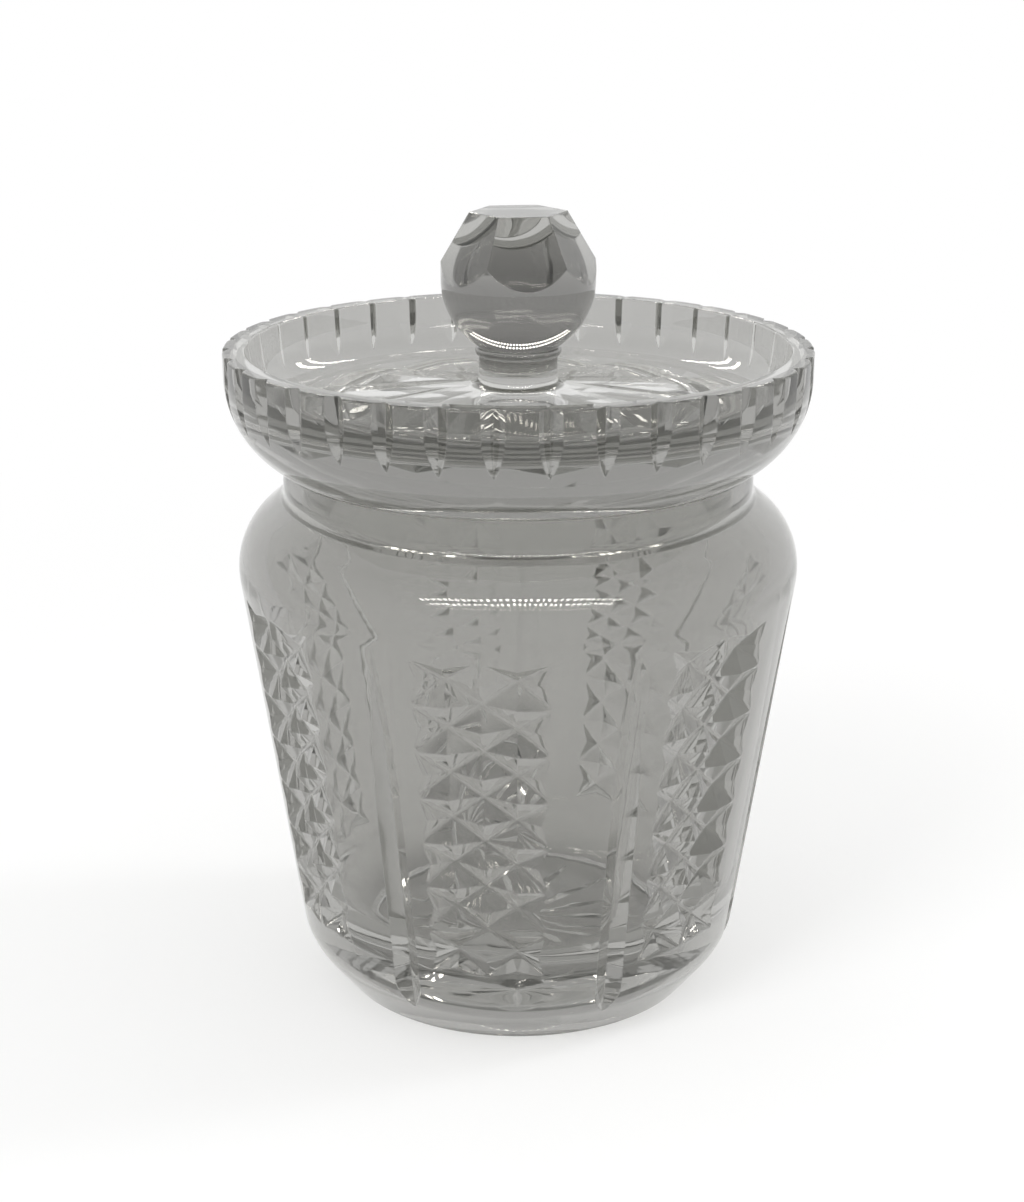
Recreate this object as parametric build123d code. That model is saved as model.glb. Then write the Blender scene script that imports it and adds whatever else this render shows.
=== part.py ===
from build123d import *
import os
from math import cos, radians, sin, tan

# Cut-glass biscuit jar: a tapered jar with a round shoulder and a short neck, and a loose lid that
# is one dished piece of glass with a ground flange below and a faceted knob joined on top.
# Lengths are in millimetres and angles in degrees. Z is up, the origin is the middle of the base,
# and bearings turn from the front (-Y) towards +X.

# --- Jar outline -----------------------------------------------------------------------------
BODY_RADIUS = 63.3        # widest part, just under the shoulder
SEAT_HEIGHT = 123.6       # ground top of the neck, where the lid sits
SHOULDER_DROP = 24.1      # from the seat down to the widest part
SHOULDER_ROUND = 17.0     # round between side and shoulder
SIDE_LEAN = 8.3           # the side leans out by this, upwards
SHOULDER_LEAN = 50.0      # the shoulder leans in by this
HEEL_HEIGHT = 10.9        # height of the corner between side and heel
HEEL_LEAN = 38.5
HEEL_ROUND = 16.0
NECK_INSET = 10.5         # the short neck stands this far inside the widest part
NECK_ROUND = 3.0          # hollow round between shoulder and neck
WALL = 6.5
FLOOR = 14.0              # thickness of the bottom
INNER_HEEL_ROUND = 20.0
NECK_WALL = 3.8
EDGE_ROUND = 0.6          # polished edges of the rims
FOOT_WIDTH = 3.0          # flat ring that the jar stands on
BASE_HOLLOW = 1.2         # depth of the hollow inside that ring

# --- Jar cutting -----------------------------------------------------------------------------
PANELS = 7                # diamond panels, and as many long blades between them
PANEL_BEARING = -7.5      # of the first panel
PANEL_DROP = 3.2          # from the widest part down to a panel's upper points
PANEL_MARGIN = 8.8        # from the heel's corner up to a panel's lower points
DIAMOND_ANGLE = 14.4      # width of a diamond as a bearing
DIAMOND_ROWS = 7
DIAMOND_DEPTH = 2.9       # of the crossings of the mitre grooves
POINT_SINK = 0.1          # the diamonds' points lie this far under the blank's surface
GROOVE_FADE = 0.3         # the grooves run out this far above the surface
BORDER_RISE = 1.6         # how far the tool stands off between the groove ends
BLADE_DROP = 1.5          # from the widest part down to a blade's upper point
BLADE_DEPTH = 2.0
BLADE_ENTRY = 45.0        # the blade reaches its full depth over this length
BLADE_STEPS = 5           # straight pieces of that entry
BLADE_FLARE = 59.0        # half the angle of a blade's mitre
BLADE_SHIFT = 4.6         # a blade stands this far past the middle between two panels
STAR_RAYS = 16            # base star
STAR_DEPTH = 2.8          # in the middle of the base
STAR_CLEFT = 0.5          # where the rays part, as a share of the star's reach

# --- Lid -------------------------------------------------------------------------------------
LID_PLAY = 0.7            # between flange and neck, all round
SEAT_GAP = 0.1            # film between the ground seats
SEAT_OVERHANG = 0.6       # the lid's edge stands this far past the neck
FLANGE_DEPTH = 12.0       # how far the flange reaches into the neck
FLANGE_WALL = 4.5
PLATE_UNDERSIDE = 7.4     # above the seat
PLATE_MIDDLE = 16.4       # top of the plate at the knob, above the seat
PLATE_FALL = 5.2          # the plate's top falls outwards by this angle
GALLERY_OVERHANG = 1.9    # the standing wall reaches this far past the jar's widest part
GALLERY_HEIGHT = 25.4     # top of that wall above the seat
GALLERY_LIP = 5.6         # its upper part is straight
GALLERY_WALL = 4.9        # thickness at the top
GALLERY_LEAN = 7.0        # the inside leans out by this
GALLERY_HOLLOW = 9.0      # round between plate and wall
FLUTES = 36
FLUTE_DEPTH = 1.8
FLUTE_FLARE = 54.0        # half the angle of a flute's mitre
FLUTE_BEARING = -4.5
PETALS = 12               # mitre cuts in the plate's top
PETAL_DEPTH = 1.5
PETAL_GAP = 1.55          # from the foot of the stem to a petal's inner point
PETAL_MARGIN = 17.2       # from where a petal is deepest to the outside of the wall
PETAL_RUN_OUT = 4.0       # its blunt end rises over this length
PETAL_SHARE = 0.9         # of the pitch that a petal is wide

# --- Knob ------------------------------------------------------------------------------------
BALL_RADIUS = 17.1
KNOB_RISE = 14.9          # flat top above the middle of the ball
KNOB_FACETS = 6
FACET_LEAN = 27.5         # the facets run out at the middle of the ball
FACET_BEARING = 7.0
STEM_RADIUS = 8.75
STEM_HEIGHT = 6.6         # from the plate to the bead
STEM_FLARE = 2.2          # round at the foot of the stem
RING_BULGE = 0.85         # bead between stem and ball
RING_HEIGHT = 2.0

TOOL_CLEAR = 4.0          # how far the mitre tools reach out of the glass


def polar(radius, bearing, height):
    """Point at a bearing from the front."""
    return Vector(radius * sin(radians(bearing)), -radius * cos(radians(bearing)), height)


def line_radius(line, height):
    """Radius of an outline line, given as (radius, height, lean outwards), at a height."""
    radius, base, lean = line
    return radius + (height - base) * tan(radians(lean))


def line_height(line, radius):
    """Height at which a leaning outline line has a radius."""
    start, base, lean = line
    return base + (radius - start) / tan(radians(lean))


def crossing(first, second):
    """Corner (radius, height) where two outline lines meet."""
    gap = line_radius(second, 0) - line_radius(first, 0)
    height = gap / (tan(radians(first[2])) - tan(radians(second[2])))
    return line_radius(first, height), height


def inward(line, distance):
    """The parallel line that lies a wall's thickness further in."""
    radius, height, lean = line
    return radius - distance / cos(radians(lean)), height, lean


def turned(*corners):
    """Solid turned about Z from the corners (radius, height, round) of its closed outline."""
    outline = FilletPolyline(
        *[(radius, height) for radius, height, _ in corners],
        radius=[corner_round for *_, corner_round in corners],
        close=True,
    )
    return revolve(make_face(Plane.XZ * outline), Axis.Z)


def facet_tool(facets, rim, apex):
    """Closed cutting tool: facets meet the glass, and triangles from their rim to an apex close it."""
    closing = [(rim[i - 1], rim[i], apex) for i in range(len(rim))]
    faces = [Face(Wire.make_polygon(corners)) for corners in [*facets, *closing]]
    return Solid(Shell(faces))


def mitre_tool(start, end, outward, flare):
    """Straight V-shaped tool whose sharp edge runs from start to end and opens outwards."""
    along = (end - start).normalized()
    height = TOOL_CLEAR
    spread = height * tan(radians(flare))
    section = Polygon((0, 0), (spread, height), (-spread, height), align=None)
    across = outward.cross(along)
    return extrude(Plane(start, x_dir=across, z_dir=along) * section, (end - start).length)


def around(count, first, solid):
    """Copies of a solid at equal bearings, the first turned to a given bearing."""
    return [Rot(Z=first + i * 360 / count) * solid for i in range(count)]


# --- Lines and radii that several pieces share ------------------------------------------------
widest_height = SEAT_HEIGHT - SHOULDER_DROP
shoulder_centre = BODY_RADIUS - SHOULDER_ROUND
side_line = (
    shoulder_centre + SHOULDER_ROUND * cos(radians(SIDE_LEAN)),
    widest_height - SHOULDER_ROUND * sin(radians(SIDE_LEAN)),
    SIDE_LEAN,
)
shoulder_line = (
    shoulder_centre + SHOULDER_ROUND * cos(radians(SHOULDER_LEAN)),
    widest_height + SHOULDER_ROUND * sin(radians(SHOULDER_LEAN)),
    -SHOULDER_LEAN,
)
heel_line = (line_radius(side_line, HEEL_HEIGHT), HEEL_HEIGHT, HEEL_LEAN)
base_radius = line_radius(heel_line, 0)
panel_top = widest_height - PANEL_DROP
panel_length = (panel_top - HEEL_HEIGHT - PANEL_MARGIN) / cos(radians(SIDE_LEAN))
diamond_height = panel_length / DIAMOND_ROWS
neck_radius = BODY_RADIUS - NECK_INSET
mouth_radius = neck_radius - NECK_WALL
flange_radius = mouth_radius - LID_PLAY
lid_seat = SEAT_HEIGHT + SEAT_GAP
knob_foot = lid_seat + PLATE_MIDDLE
stem_foot_radius = STEM_RADIUS + STEM_FLARE
gallery_radius = BODY_RADIUS + GALLERY_OVERHANG
petal_start = stem_foot_radius + PETAL_GAP
petal_reach = gallery_radius - PETAL_MARGIN


def plate_top(radius):
    """Height of the plate's top at a radius."""
    return knob_foot - max(radius - stem_foot_radius, 0) * tan(radians(PLATE_FALL))


def side_point(bearing, travel, depth):
    """Point under the jar's side, a way down along it from the panels' top."""
    lean = radians(SIDE_LEAN)
    radius = line_radius(side_line, panel_top) - travel * sin(lean) - depth * cos(lean)
    return polar(radius, bearing, panel_top - travel * cos(lean) + depth * sin(lean))


def jar_blank():
    """The jar before cutting: one turned wall from the base to the ground seat."""
    inner_side = inward(side_line, WALL)
    inner_shoulder = inward(shoulder_line, WALL)
    foot_inside = base_radius - FOOT_WIDTH
    return turned(
        (0, BASE_HOLLOW, 0),
        (foot_inside - BASE_HOLLOW, BASE_HOLLOW, 0),
        (foot_inside, 0, 0),
        (base_radius, 0, EDGE_ROUND),
        (*crossing(heel_line, side_line), HEEL_ROUND),
        (*crossing(side_line, shoulder_line), SHOULDER_ROUND),
        (neck_radius, line_height(shoulder_line, neck_radius), NECK_ROUND),
        (neck_radius, SEAT_HEIGHT, EDGE_ROUND),
        (mouth_radius, SEAT_HEIGHT, EDGE_ROUND),
        (mouth_radius, line_height(inner_shoulder, mouth_radius), EDGE_ROUND),
        (*crossing(inner_side, inner_shoulder), SHOULDER_ROUND - WALL),
        (line_radius(inner_side, FLOOR), FLOOR, INNER_HEEL_ROUND),
        (0, FLOOR, 0),
    )


def panel_tool():
    """Tool of one diamond panel: mitre grooves that cross on a lattice and run out at its border."""
    columns, rows = 2, 2 * DIAMOND_ROWS

    def corner(column, row):
        border = abs(column) == columns or row in (0, rows)
        if (column + row) % 2 == 0:
            depth = -GROOVE_FADE if border else DIAMOND_DEPTH
        else:
            depth = -BORDER_RISE if border else POINT_SINK
        return side_point(column * DIAMOND_ANGLE / 2, row * diamond_height / 2, depth)

    def inside(column, row):
        return abs(column) <= columns and 0 <= row <= rows

    facets = []
    for column in range(-columns, columns + 1):
        for row in range(rows + 1):
            if (column + row) % 2 == 0:
                continue
            ring = [(column, row - 1), (column + 1, row), (column, row + 1), (column - 1, row)]
            for first, second in zip(ring, ring[1:] + ring[:1]):
                if inside(*first) and inside(*second):
                    facets.append((corner(column, row), corner(*first), corner(*second)))
    top = [(column, 0) for column in range(-columns, columns)]
    right = [(columns, row) for row in range(rows)]
    bottom = [(column, rows) for column in range(columns, -columns, -1)]
    left = [(-columns, row) for row in range(rows, 0, -1)]
    rim = [corner(*place) for place in top + right + bottom + left]
    return facet_tool(facets, rim, side_point(0, panel_length / 2, -panel_length))


def blade_tool():
    """Tool of one long blade: its mitre dips into the side, then keeps its depth down past the heel."""
    top = widest_height - BLADE_DROP
    length = (top - HEEL_HEIGHT) / cos(radians(SIDE_LEAN)) + SHOULDER_ROUND
    stations = [BLADE_ENTRY * step / BLADE_STEPS for step in range(BLADE_STEPS + 1)] + [length]
    start = (panel_top - top) / cos(radians(SIDE_LEAN))
    edge, left, right = [], [], []
    for travel in stations:
        depth = BLADE_DEPTH * (1 - max(1 - travel / BLADE_ENTRY, 0) ** 2)
        spread = Vector((depth + TOOL_CLEAR) * tan(radians(BLADE_FLARE)), 0, 0)
        edge.append(side_point(0, start + travel, depth))
        left.append(side_point(0, start + travel, -TOOL_CLEAR) - spread)
        right.append(side_point(0, start + travel, -TOOL_CLEAR) + spread)
    facets = []
    for border in (left, right):
        for i in range(len(stations) - 1):
            facets.append((edge[i], edge[i + 1], border[i]))
            facets.append((edge[i + 1], border[i + 1], border[i]))
    rim = [*left, edge[-1], *reversed(right), edge[0]]
    return facet_tool(facets, rim, side_point(0, start + length / 2, -length))


def star_tool():
    """Tool of the base star: rays that meet in the middle and run out at the foot ring."""
    reach = base_radius - FOOT_WIDTH - BASE_HOLLOW
    middle = Vector(0, 0, BASE_HOLLOW + STAR_DEPTH)
    outside = BASE_HOLLOW - GROOVE_FADE
    step = 360 / STAR_RAYS
    rim = []
    for ray in range(STAR_RAYS):
        rim.append(polar(reach, ray * step, outside))
        rim.append(polar(reach * STAR_CLEFT, (ray + 0.5) * step, outside))
    facets = [(middle, rim[i - 1], rim[i]) for i in range(len(rim))]
    return facet_tool(facets, rim, Vector(0, 0, -reach))


def make_jar_body():
    """The jar with its diamond panels, blades and base star."""
    pitch = 360 / PANELS
    panels = around(PANELS, PANEL_BEARING, panel_tool())
    blades = around(PANELS, PANEL_BEARING + pitch / 2 + BLADE_SHIFT, blade_tool())
    return jar_blank() - panels - blades - star_tool()


def lid_blank():
    """The lid before cutting: flange, plate and standing gallery wall in one turned piece."""
    seat_edge = neck_radius + SEAT_OVERHANG
    top = lid_seat + GALLERY_HEIGHT
    lip = top - GALLERY_LIP
    bowl_round = ((gallery_radius - seat_edge) ** 2 + (lip - lid_seat) ** 2) / (
        2 * (gallery_radius - seat_edge)
    )
    inner_wall = (gallery_radius - GALLERY_WALL, top, GALLERY_LEAN)
    floor_line = (stem_foot_radius, knob_foot, -(90 - PLATE_FALL))
    flange_inside = flange_radius - FLANGE_WALL
    hollow_top = lid_seat + PLATE_UNDERSIDE
    core = turned(
        (0, hollow_top, 0),
        (flange_inside, hollow_top, FLANGE_WALL),
        (flange_inside, lid_seat - FLANGE_DEPTH, EDGE_ROUND),
        (flange_radius, lid_seat - FLANGE_DEPTH, EDGE_ROUND),
        (flange_radius, lid_seat, 0),
        (gallery_radius, lid_seat, 0),
        (gallery_radius, top, EDGE_ROUND),
        (gallery_radius - GALLERY_WALL, top, EDGE_ROUND),
        (*crossing(inner_wall, floor_line), GALLERY_HOLLOW),
        (stem_foot_radius, knob_foot, 0),
        (0, knob_foot, 0),
    )
    middle = Vector(gallery_radius - bowl_round, 0, lip)
    away = Vector(bowl_round, 0, 0)
    seat_point = Vector(seat_edge, 0, lid_seat)
    halfway = (away + (seat_point - middle)).normalized() * bowl_round
    bowl = ThreePointArc(seat_point, middle + halfway, middle + away)
    waste = make_face(
        bowl
        + Polyline(
            middle + away,
            (gallery_radius + TOOL_CLEAR, 0, lip),
            (gallery_radius + TOOL_CLEAR, 0, lid_seat - SEAT_GAP / 2),
            (seat_edge, 0, lid_seat - SEAT_GAP / 2),
            seat_point,
        )
    )
    return core - revolve(waste, Axis.Z)


def flute_tool():
    """Tool of one flute: an upright mitre that notches the rim and runs out on the bowl below."""
    radius = gallery_radius - FLUTE_DEPTH
    foot = polar(radius, 0, lid_seat)
    head = polar(radius, 0, lid_seat + GALLERY_HEIGHT + TOOL_CLEAR)
    return mitre_tool(foot, head, polar(1, 0, 0), FLUTE_FLARE)


def petal_tool():
    """Tool of one petal: a shallow mitre that widens outwards and ends in a blunt hip."""
    half = petal_reach * tan(radians(180 / PETALS)) * PETAL_SHARE
    point = polar(petal_start, 0, plate_top(petal_start) + GROOVE_FADE)
    deep = polar(petal_reach, 0, plate_top(petal_reach) - PETAL_DEPTH)
    end = petal_reach + PETAL_RUN_OUT
    tip = polar(end, 0, plate_top(end) + PETAL_DEPTH)
    level = plate_top(petal_reach) + GROOVE_FADE
    left, right = (Vector(side * half, deep.Y, level) for side in (-1, 1))
    rim = [point, right, tip, left]
    facets = [(deep, rim[i - 1], rim[i]) for i in range(len(rim))]
    return facet_tool(facets, rim, polar(petal_reach * 0.7, 0, knob_foot + petal_reach))


def make_lid():
    """The lid with its fluted gallery and the petals round the knob."""
    flutes = around(FLUTES, FLUTE_BEARING, flute_tool())
    petals = around(PETALS, FACET_BEARING, petal_tool())
    return lid_blank() - flutes - petals


def make_lid_knob():
    """The knob: flared stem, bead and a ball cut to six leaning facets under a flat top."""
    bead_foot = knob_foot + STEM_HEIGHT
    stem_top = bead_foot + RING_HEIGHT
    middle = stem_top + (BALL_RADIUS**2 - STEM_RADIUS**2) ** 0.5
    top = middle + KNOB_RISE
    top_radius = BALL_RADIUS - KNOB_RISE * tan(radians(FACET_LEAN))
    slant = 0.5**0.5
    flare = (stem_foot_radius - STEM_FLARE * slant, knob_foot + STEM_FLARE * (1 - slant))
    lower_ball = (BALL_RADIUS * slant, middle - BALL_RADIUS * slant)
    outline = [
        ThreePointArc((stem_foot_radius, knob_foot), flare, (STEM_RADIUS, knob_foot + STEM_FLARE)),
        Line((STEM_RADIUS, knob_foot + STEM_FLARE), (STEM_RADIUS, bead_foot)),
        ThreePointArc(
            (STEM_RADIUS, bead_foot),
            (STEM_RADIUS + RING_BULGE, bead_foot + RING_HEIGHT / 2),
            (STEM_RADIUS, stem_top),
        ),
        ThreePointArc((STEM_RADIUS, stem_top), lower_ball, (BALL_RADIUS, middle)),
        Polyline(
            (BALL_RADIUS, middle), (BALL_RADIUS, top), (0, top), (0, knob_foot), (stem_foot_radius, knob_foot)
        ),
    ]
    blank = revolve(make_face(Plane.XZ * Curve(outline)), Axis.Z)
    side = Plane(polar(top_radius, 0, top), x_dir=(1, 0, 0), z_dir=polar(1, 0, tan(radians(FACET_LEAN))))
    width = 2 * BALL_RADIUS
    waste = side * Pos(Z=width / 2) * Box(2 * width, 2 * width, width)
    return blank - around(KNOB_FACETS, FACET_BEARING, waste)


os.makedirs("parts", exist_ok=True)
export_step(make_jar_body(), "parts/jar_body.step")
export_step(make_lid(), "parts/lid.step")
export_step(make_lid_knob(), "parts/lid_knob.step")
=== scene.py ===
"""Looks of a cut-crystal biscuit jar: a tapered jar and a loose dished lid with a faceted knob.

Sizes are in millimetres and angles in degrees; bearings turn from the front (-Y) towards +X.
Meshes are written in metres.
"""

import logging
import math
from dataclasses import dataclass
from enum import Enum
from typing import Any, Iterable, Mapping, Sequence

import bmesh
import bpy
from mathutils import Matrix, Vector


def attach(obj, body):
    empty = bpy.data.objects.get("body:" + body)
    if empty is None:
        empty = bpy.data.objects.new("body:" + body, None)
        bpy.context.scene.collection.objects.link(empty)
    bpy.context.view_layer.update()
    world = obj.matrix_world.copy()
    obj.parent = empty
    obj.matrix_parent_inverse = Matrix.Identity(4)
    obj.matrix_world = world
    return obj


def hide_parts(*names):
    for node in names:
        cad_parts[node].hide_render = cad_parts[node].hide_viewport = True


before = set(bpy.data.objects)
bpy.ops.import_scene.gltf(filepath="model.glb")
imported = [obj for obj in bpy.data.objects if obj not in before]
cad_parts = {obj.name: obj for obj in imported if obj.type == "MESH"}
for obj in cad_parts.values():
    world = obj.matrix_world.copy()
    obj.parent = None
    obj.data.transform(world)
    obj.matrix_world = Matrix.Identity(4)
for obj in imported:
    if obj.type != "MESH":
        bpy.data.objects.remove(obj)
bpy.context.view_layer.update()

LOG = logging.getLogger("biscuit_jar")
MM = 0.001
ON_AXIS = 1e-6  # a smaller radius is on the axis
WELD_DIGITS = 5  # points that agree to this many decimals are one
Corner = tuple[float, float, float]
Triangle = tuple[Vector, Vector, Vector]


# --- Shader values ---------------------------------------------------------------------------
class Value:
    """A shader socket's number; arithmetic on it adds Math nodes."""

    def __init__(self, graph: "Graph", socket: bpy.types.NodeSocket) -> None:
        """Keeps the graph and the output socket.

        Args:
            graph: The node graph that the socket is in.
            socket: The output socket.
        """
        self.graph = graph
        self.socket = socket

    def other(self, name: str) -> "Value":
        """Another output of the same node."""
        return Value(self.graph, self.socket.node.outputs[name])

    def maths(self, operation: str, *inputs: Any) -> "Value":
        """Adds one Math node.

        Args:
            operation: The node's operation.
            inputs: Its inputs, numbers or values.

        Returns:
            The node's result.
        """
        return self.graph.add("ShaderNodeMath", dict(enumerate(inputs)), operation=operation)

    def __add__(self, other: Any) -> "Value":
        """Sum."""
        return self.maths("ADD", self, other)

    def __sub__(self, other: Any) -> "Value":
        """Difference."""
        return self.maths("SUBTRACT", self, other)

    def __rsub__(self, other: Any) -> "Value":
        """Difference from a number."""
        return self.maths("SUBTRACT", other, self)

    def __mul__(self, other: Any) -> "Value":
        """Product."""
        return self.maths("MULTIPLY", self, other)

    def __truediv__(self, other: Any) -> "Value":
        """Quotient."""
        return self.maths("DIVIDE", self, other)

    __radd__ = __add__
    __rmul__ = __mul__

    def clamped(self) -> "Value":
        """The value kept between 0 and 1."""
        return self.graph.add("ShaderNodeClamp", {"Value": self})

    def step(self, low: float, high: float) -> "Value":
        """Smooth step.

        Args:
            low: Where the result is 0.
            high: Where the result is 1; it may be below low.

        Returns:
            A value from 0 to 1.
        """
        sockets = {"Value": self, "From Min": low, "From Max": high}
        return self.graph.add("ShaderNodeMapRange", sockets, interpolation_type="SMOOTHSTEP")


class Graph:
    """A material's or the world's node tree, emptied and built anew."""

    def __init__(self, owner: Any) -> None:
        """Empties the owner's node tree.

        Args:
            owner: A material or a world.
        """
        owner.use_nodes = True
        self.tree = owner.node_tree
        self.tree.nodes.clear()

    def add(self, kind: str, sockets: Mapping[Any, Any] = {}, out: Any = 0, **settings: Any) -> Value:
        """Adds a node.

        Args:
            kind: The node's type.
            sockets: Values or links of its inputs, by name or number.
            out: Which output is returned, by name or number.
            settings: The node's own settings, set first; stops are a ramp's (place, colour) pairs.

        Returns:
            The chosen output.
        """
        node = self.tree.nodes.new(kind)
        for name, setting in settings.items():
            if name == "stops":
                self.fill_ramp(node.color_ramp, setting)
            else:
                setattr(node, name, setting)
        for key, value in sockets.items():
            if isinstance(value, Value):
                self.tree.links.new(value.socket, node.inputs[key])
            else:
                node.inputs[key].default_value = value
        return Value(self, node.outputs[out]) if node.outputs else Value(self, None)

    @staticmethod
    def fill_ramp(ramp: bpy.types.ColorRamp, stops: Sequence[tuple[float, Sequence[float]]]) -> None:
        """Sets a ramp's stops.

        Args:
            ramp: The ramp.
            stops: Pairs of place and colour.
        """
        while len(ramp.elements) < len(stops):
            ramp.elements.new(1.0)
        for element, (place, colour) in zip(ramp.elements, stops):
            element.position = place
            element.color = (*colour, 1.0)

    def blend(self, share: Any, first: Any, second: Any) -> Value:
        """Colour mix.

        Args:
            share: Share of the second colour.
            first: First colour.
            second: Second colour.

        Returns:
            The mixed colour.
        """
        sockets = {0: share, 6: first, 7: second}
        return self.add("ShaderNodeMix", sockets, out=2, data_type="RGBA")

    def noise(self, where: Value, scale: float, detail: float = 2.0) -> Value:
        """Noise over a place, from 0 to 1.

        Args:
            where: The place.
            scale: Waves per metre.
            detail: Finer layers.

        Returns:
            The noise.
        """
        sockets = {"Vector": where, "Scale": scale, "Detail": detail}
        return self.add("ShaderNodeTexNoise", sockets, out="Fac", noise_dimensions="3D")


# --- Mesh tools ------------------------------------------------------------------------------
def sine(angle: float) -> float:
    """Sine of an angle in degrees."""
    return math.sin(math.radians(angle))


def cosine(angle: float) -> float:
    """Cosine of an angle in degrees."""
    return math.cos(math.radians(angle))


def slope(angle: float) -> float:
    """Tangent of an angle in degrees."""
    return math.tan(math.radians(angle))


def polar(radius: float, bearing: float, height: float) -> Vector:
    """Point at a bearing from the front."""
    return Vector((radius * sine(bearing), -radius * cosine(bearing), height))


@dataclass(frozen=True)
class Line:
    """A leaning line of a turned outline."""

    radius: float
    height: float
    lean: float

    def at(self, height: float) -> float:
        """Radius at a height."""
        return self.radius + (height - self.height) * slope(self.lean)

    def up_to(self, radius: float) -> float:
        """Height at a radius."""
        return self.height + (radius - self.radius) / slope(self.lean)

    def inward(self, distance: float) -> "Line":
        """Parallel line nearer to the axis."""
        return Line(self.radius - distance / cosine(self.lean), self.height, self.lean)

    def meets(self, other: "Line") -> tuple[float, float]:
        """Corner (radius, height) with another line."""
        height = (other.at(0) - self.at(0)) / (slope(self.lean) - slope(other.lean))
        return self.at(height), height


def arc(centre: Vector, start: Vector, sweep: float, turn: float = 4.0) -> list[Vector]:
    """Points along an arc of an outline.

    Args:
        centre: Middle of the arc.
        start: First point.
        sweep: Angle turned from the first to the last point.
        turn: Largest angle between neighbours.

    Returns:
        The points, both ends included.
    """
    steps = max(2, math.ceil(abs(sweep) / turn))
    spoke = start - centre
    return [
        centre + Matrix.Rotation(math.radians(sweep * i / steps), 2) @ spoke for i in range(steps + 1)
    ]


def rounded(corners: Sequence[Corner]) -> list[Vector]:
    """Outline from corners (radius, height, round), from axis to axis.

    Args:
        corners: The corners in order.

    Returns:
        The outline's points, with an arc in place of each rounded corner.
    """
    points: list[Vector] = []
    for i, (radius, height, bend) in enumerate(corners):
        here = Vector((radius, height))
        if not bend:
            points.append(here)
            continue
        back = (Vector(corners[i - 1][:2]) - here).normalized()
        ahead = (Vector(corners[i + 1][:2]) - here).normalized()
        half = back.angle(ahead) / 2
        centre = here + (back + ahead).normalized() * bend / math.sin(half)
        start = here + back * bend / math.tan(half)
        side = 1 if back.x * ahead.y - back.y * ahead.x < 0 else -1
        points += arc(centre, start, side * (180 - math.degrees(2 * half)))
    return points


def turned(points: Sequence[Vector], segments: int = 288) -> bmesh.types.BMesh:
    """Turned solid of an outline that starts and ends on the axis.

    Args:
        points: The outline, as (radius, height).
        segments: Steps round the axis.

    Returns:
        The closed mesh.
    """
    mesh = bmesh.new()
    rings = []
    for point in points:
        if point.x < ON_AXIS:
            rings.append([mesh.verts.new((0, 0, point.y))] * segments)
        else:
            rings.append(
                [mesh.verts.new(polar(point.x, i * 360 / segments, point.y)) for i in range(segments)]
            )
    for lower, upper in zip(rings, rings[1:]):
        for i in range(segments):
            j = (i + 1) % segments
            loop = dict.fromkeys((lower[i], lower[j], upper[j], upper[i]))
            mesh.faces.new(list(loop))
    bmesh.ops.recalc_face_normals(mesh, faces=mesh.faces)
    return mesh


def facet_tool(facets: Sequence[Triangle], rim: Sequence[Vector], apex: Vector) -> bmesh.types.BMesh:
    """Closed cutting tool: facets meet the glass, and triangles from their rim to an apex close it.

    Args:
        facets: The cutting triangles.
        rim: Their border, in order.
        apex: A point well outside the glass.

    Returns:
        The closed mesh.
    """
    mesh = bmesh.new()
    corners: dict[tuple, bmesh.types.BMVert] = {}

    def vertex(point: Vector) -> bmesh.types.BMVert:
        """The mesh's one vertex at a point.

        Args:
            point: The point.

        Returns:
            The vertex, which is new if none was there.
        """
        key = tuple(round(value, WELD_DIGITS) for value in point)
        if key not in corners:
            corners[key] = mesh.verts.new(point)
        return corners[key]

    closing = [(rim[i - 1], rim[i], apex) for i in range(len(rim))]
    for triangle in [*facets, *closing]:
        mesh.faces.new([vertex(point) for point in triangle])
    bmesh.ops.recalc_face_normals(mesh, faces=mesh.faces)
    return mesh


def mitre_tool(
    start: Vector, end: Vector, outward: Vector, flare: float, clear: float
) -> bmesh.types.BMesh:
    """Straight V-shaped tool that opens outwards from a sharp edge.

    Args:
        start: One end of the edge.
        end: The other end.
        outward: Direction that the tool opens to.
        flare: Half the angle of the V.
        clear: Height of the V.

    Returns:
        The closed mesh.
    """
    across = outward.cross(end - start).normalized() * clear * slope(flare)
    up = outward.normalized() * clear
    mesh = bmesh.new()
    ends = [[mesh.verts.new(p + s) for s in (Vector(), up + across, up - across)] for p in (start, end)]
    mesh.faces.new(ends[0])
    mesh.faces.new(ends[1])
    for i in range(3):
        mesh.faces.new((ends[0][i - 1], ends[0][i], ends[1][i], ends[1][i - 1]))
    bmesh.ops.recalc_face_normals(mesh, faces=mesh.faces)
    return mesh


def made(name: str, mesh: bmesh.types.BMesh) -> bpy.types.Object:
    """Object in the scene from a mesh in millimetres.

    Args:
        name: Name of the object.
        mesh: The mesh, which is used up.

    Returns:
        The object, in metres.
    """
    data = bpy.data.meshes.new(name)
    mesh.to_mesh(data)
    mesh.free()
    item = bpy.data.objects.new(name, data)
    item.data.transform(Matrix.Scale(MM, 4))
    bpy.context.scene.collection.objects.link(item)
    return item


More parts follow.
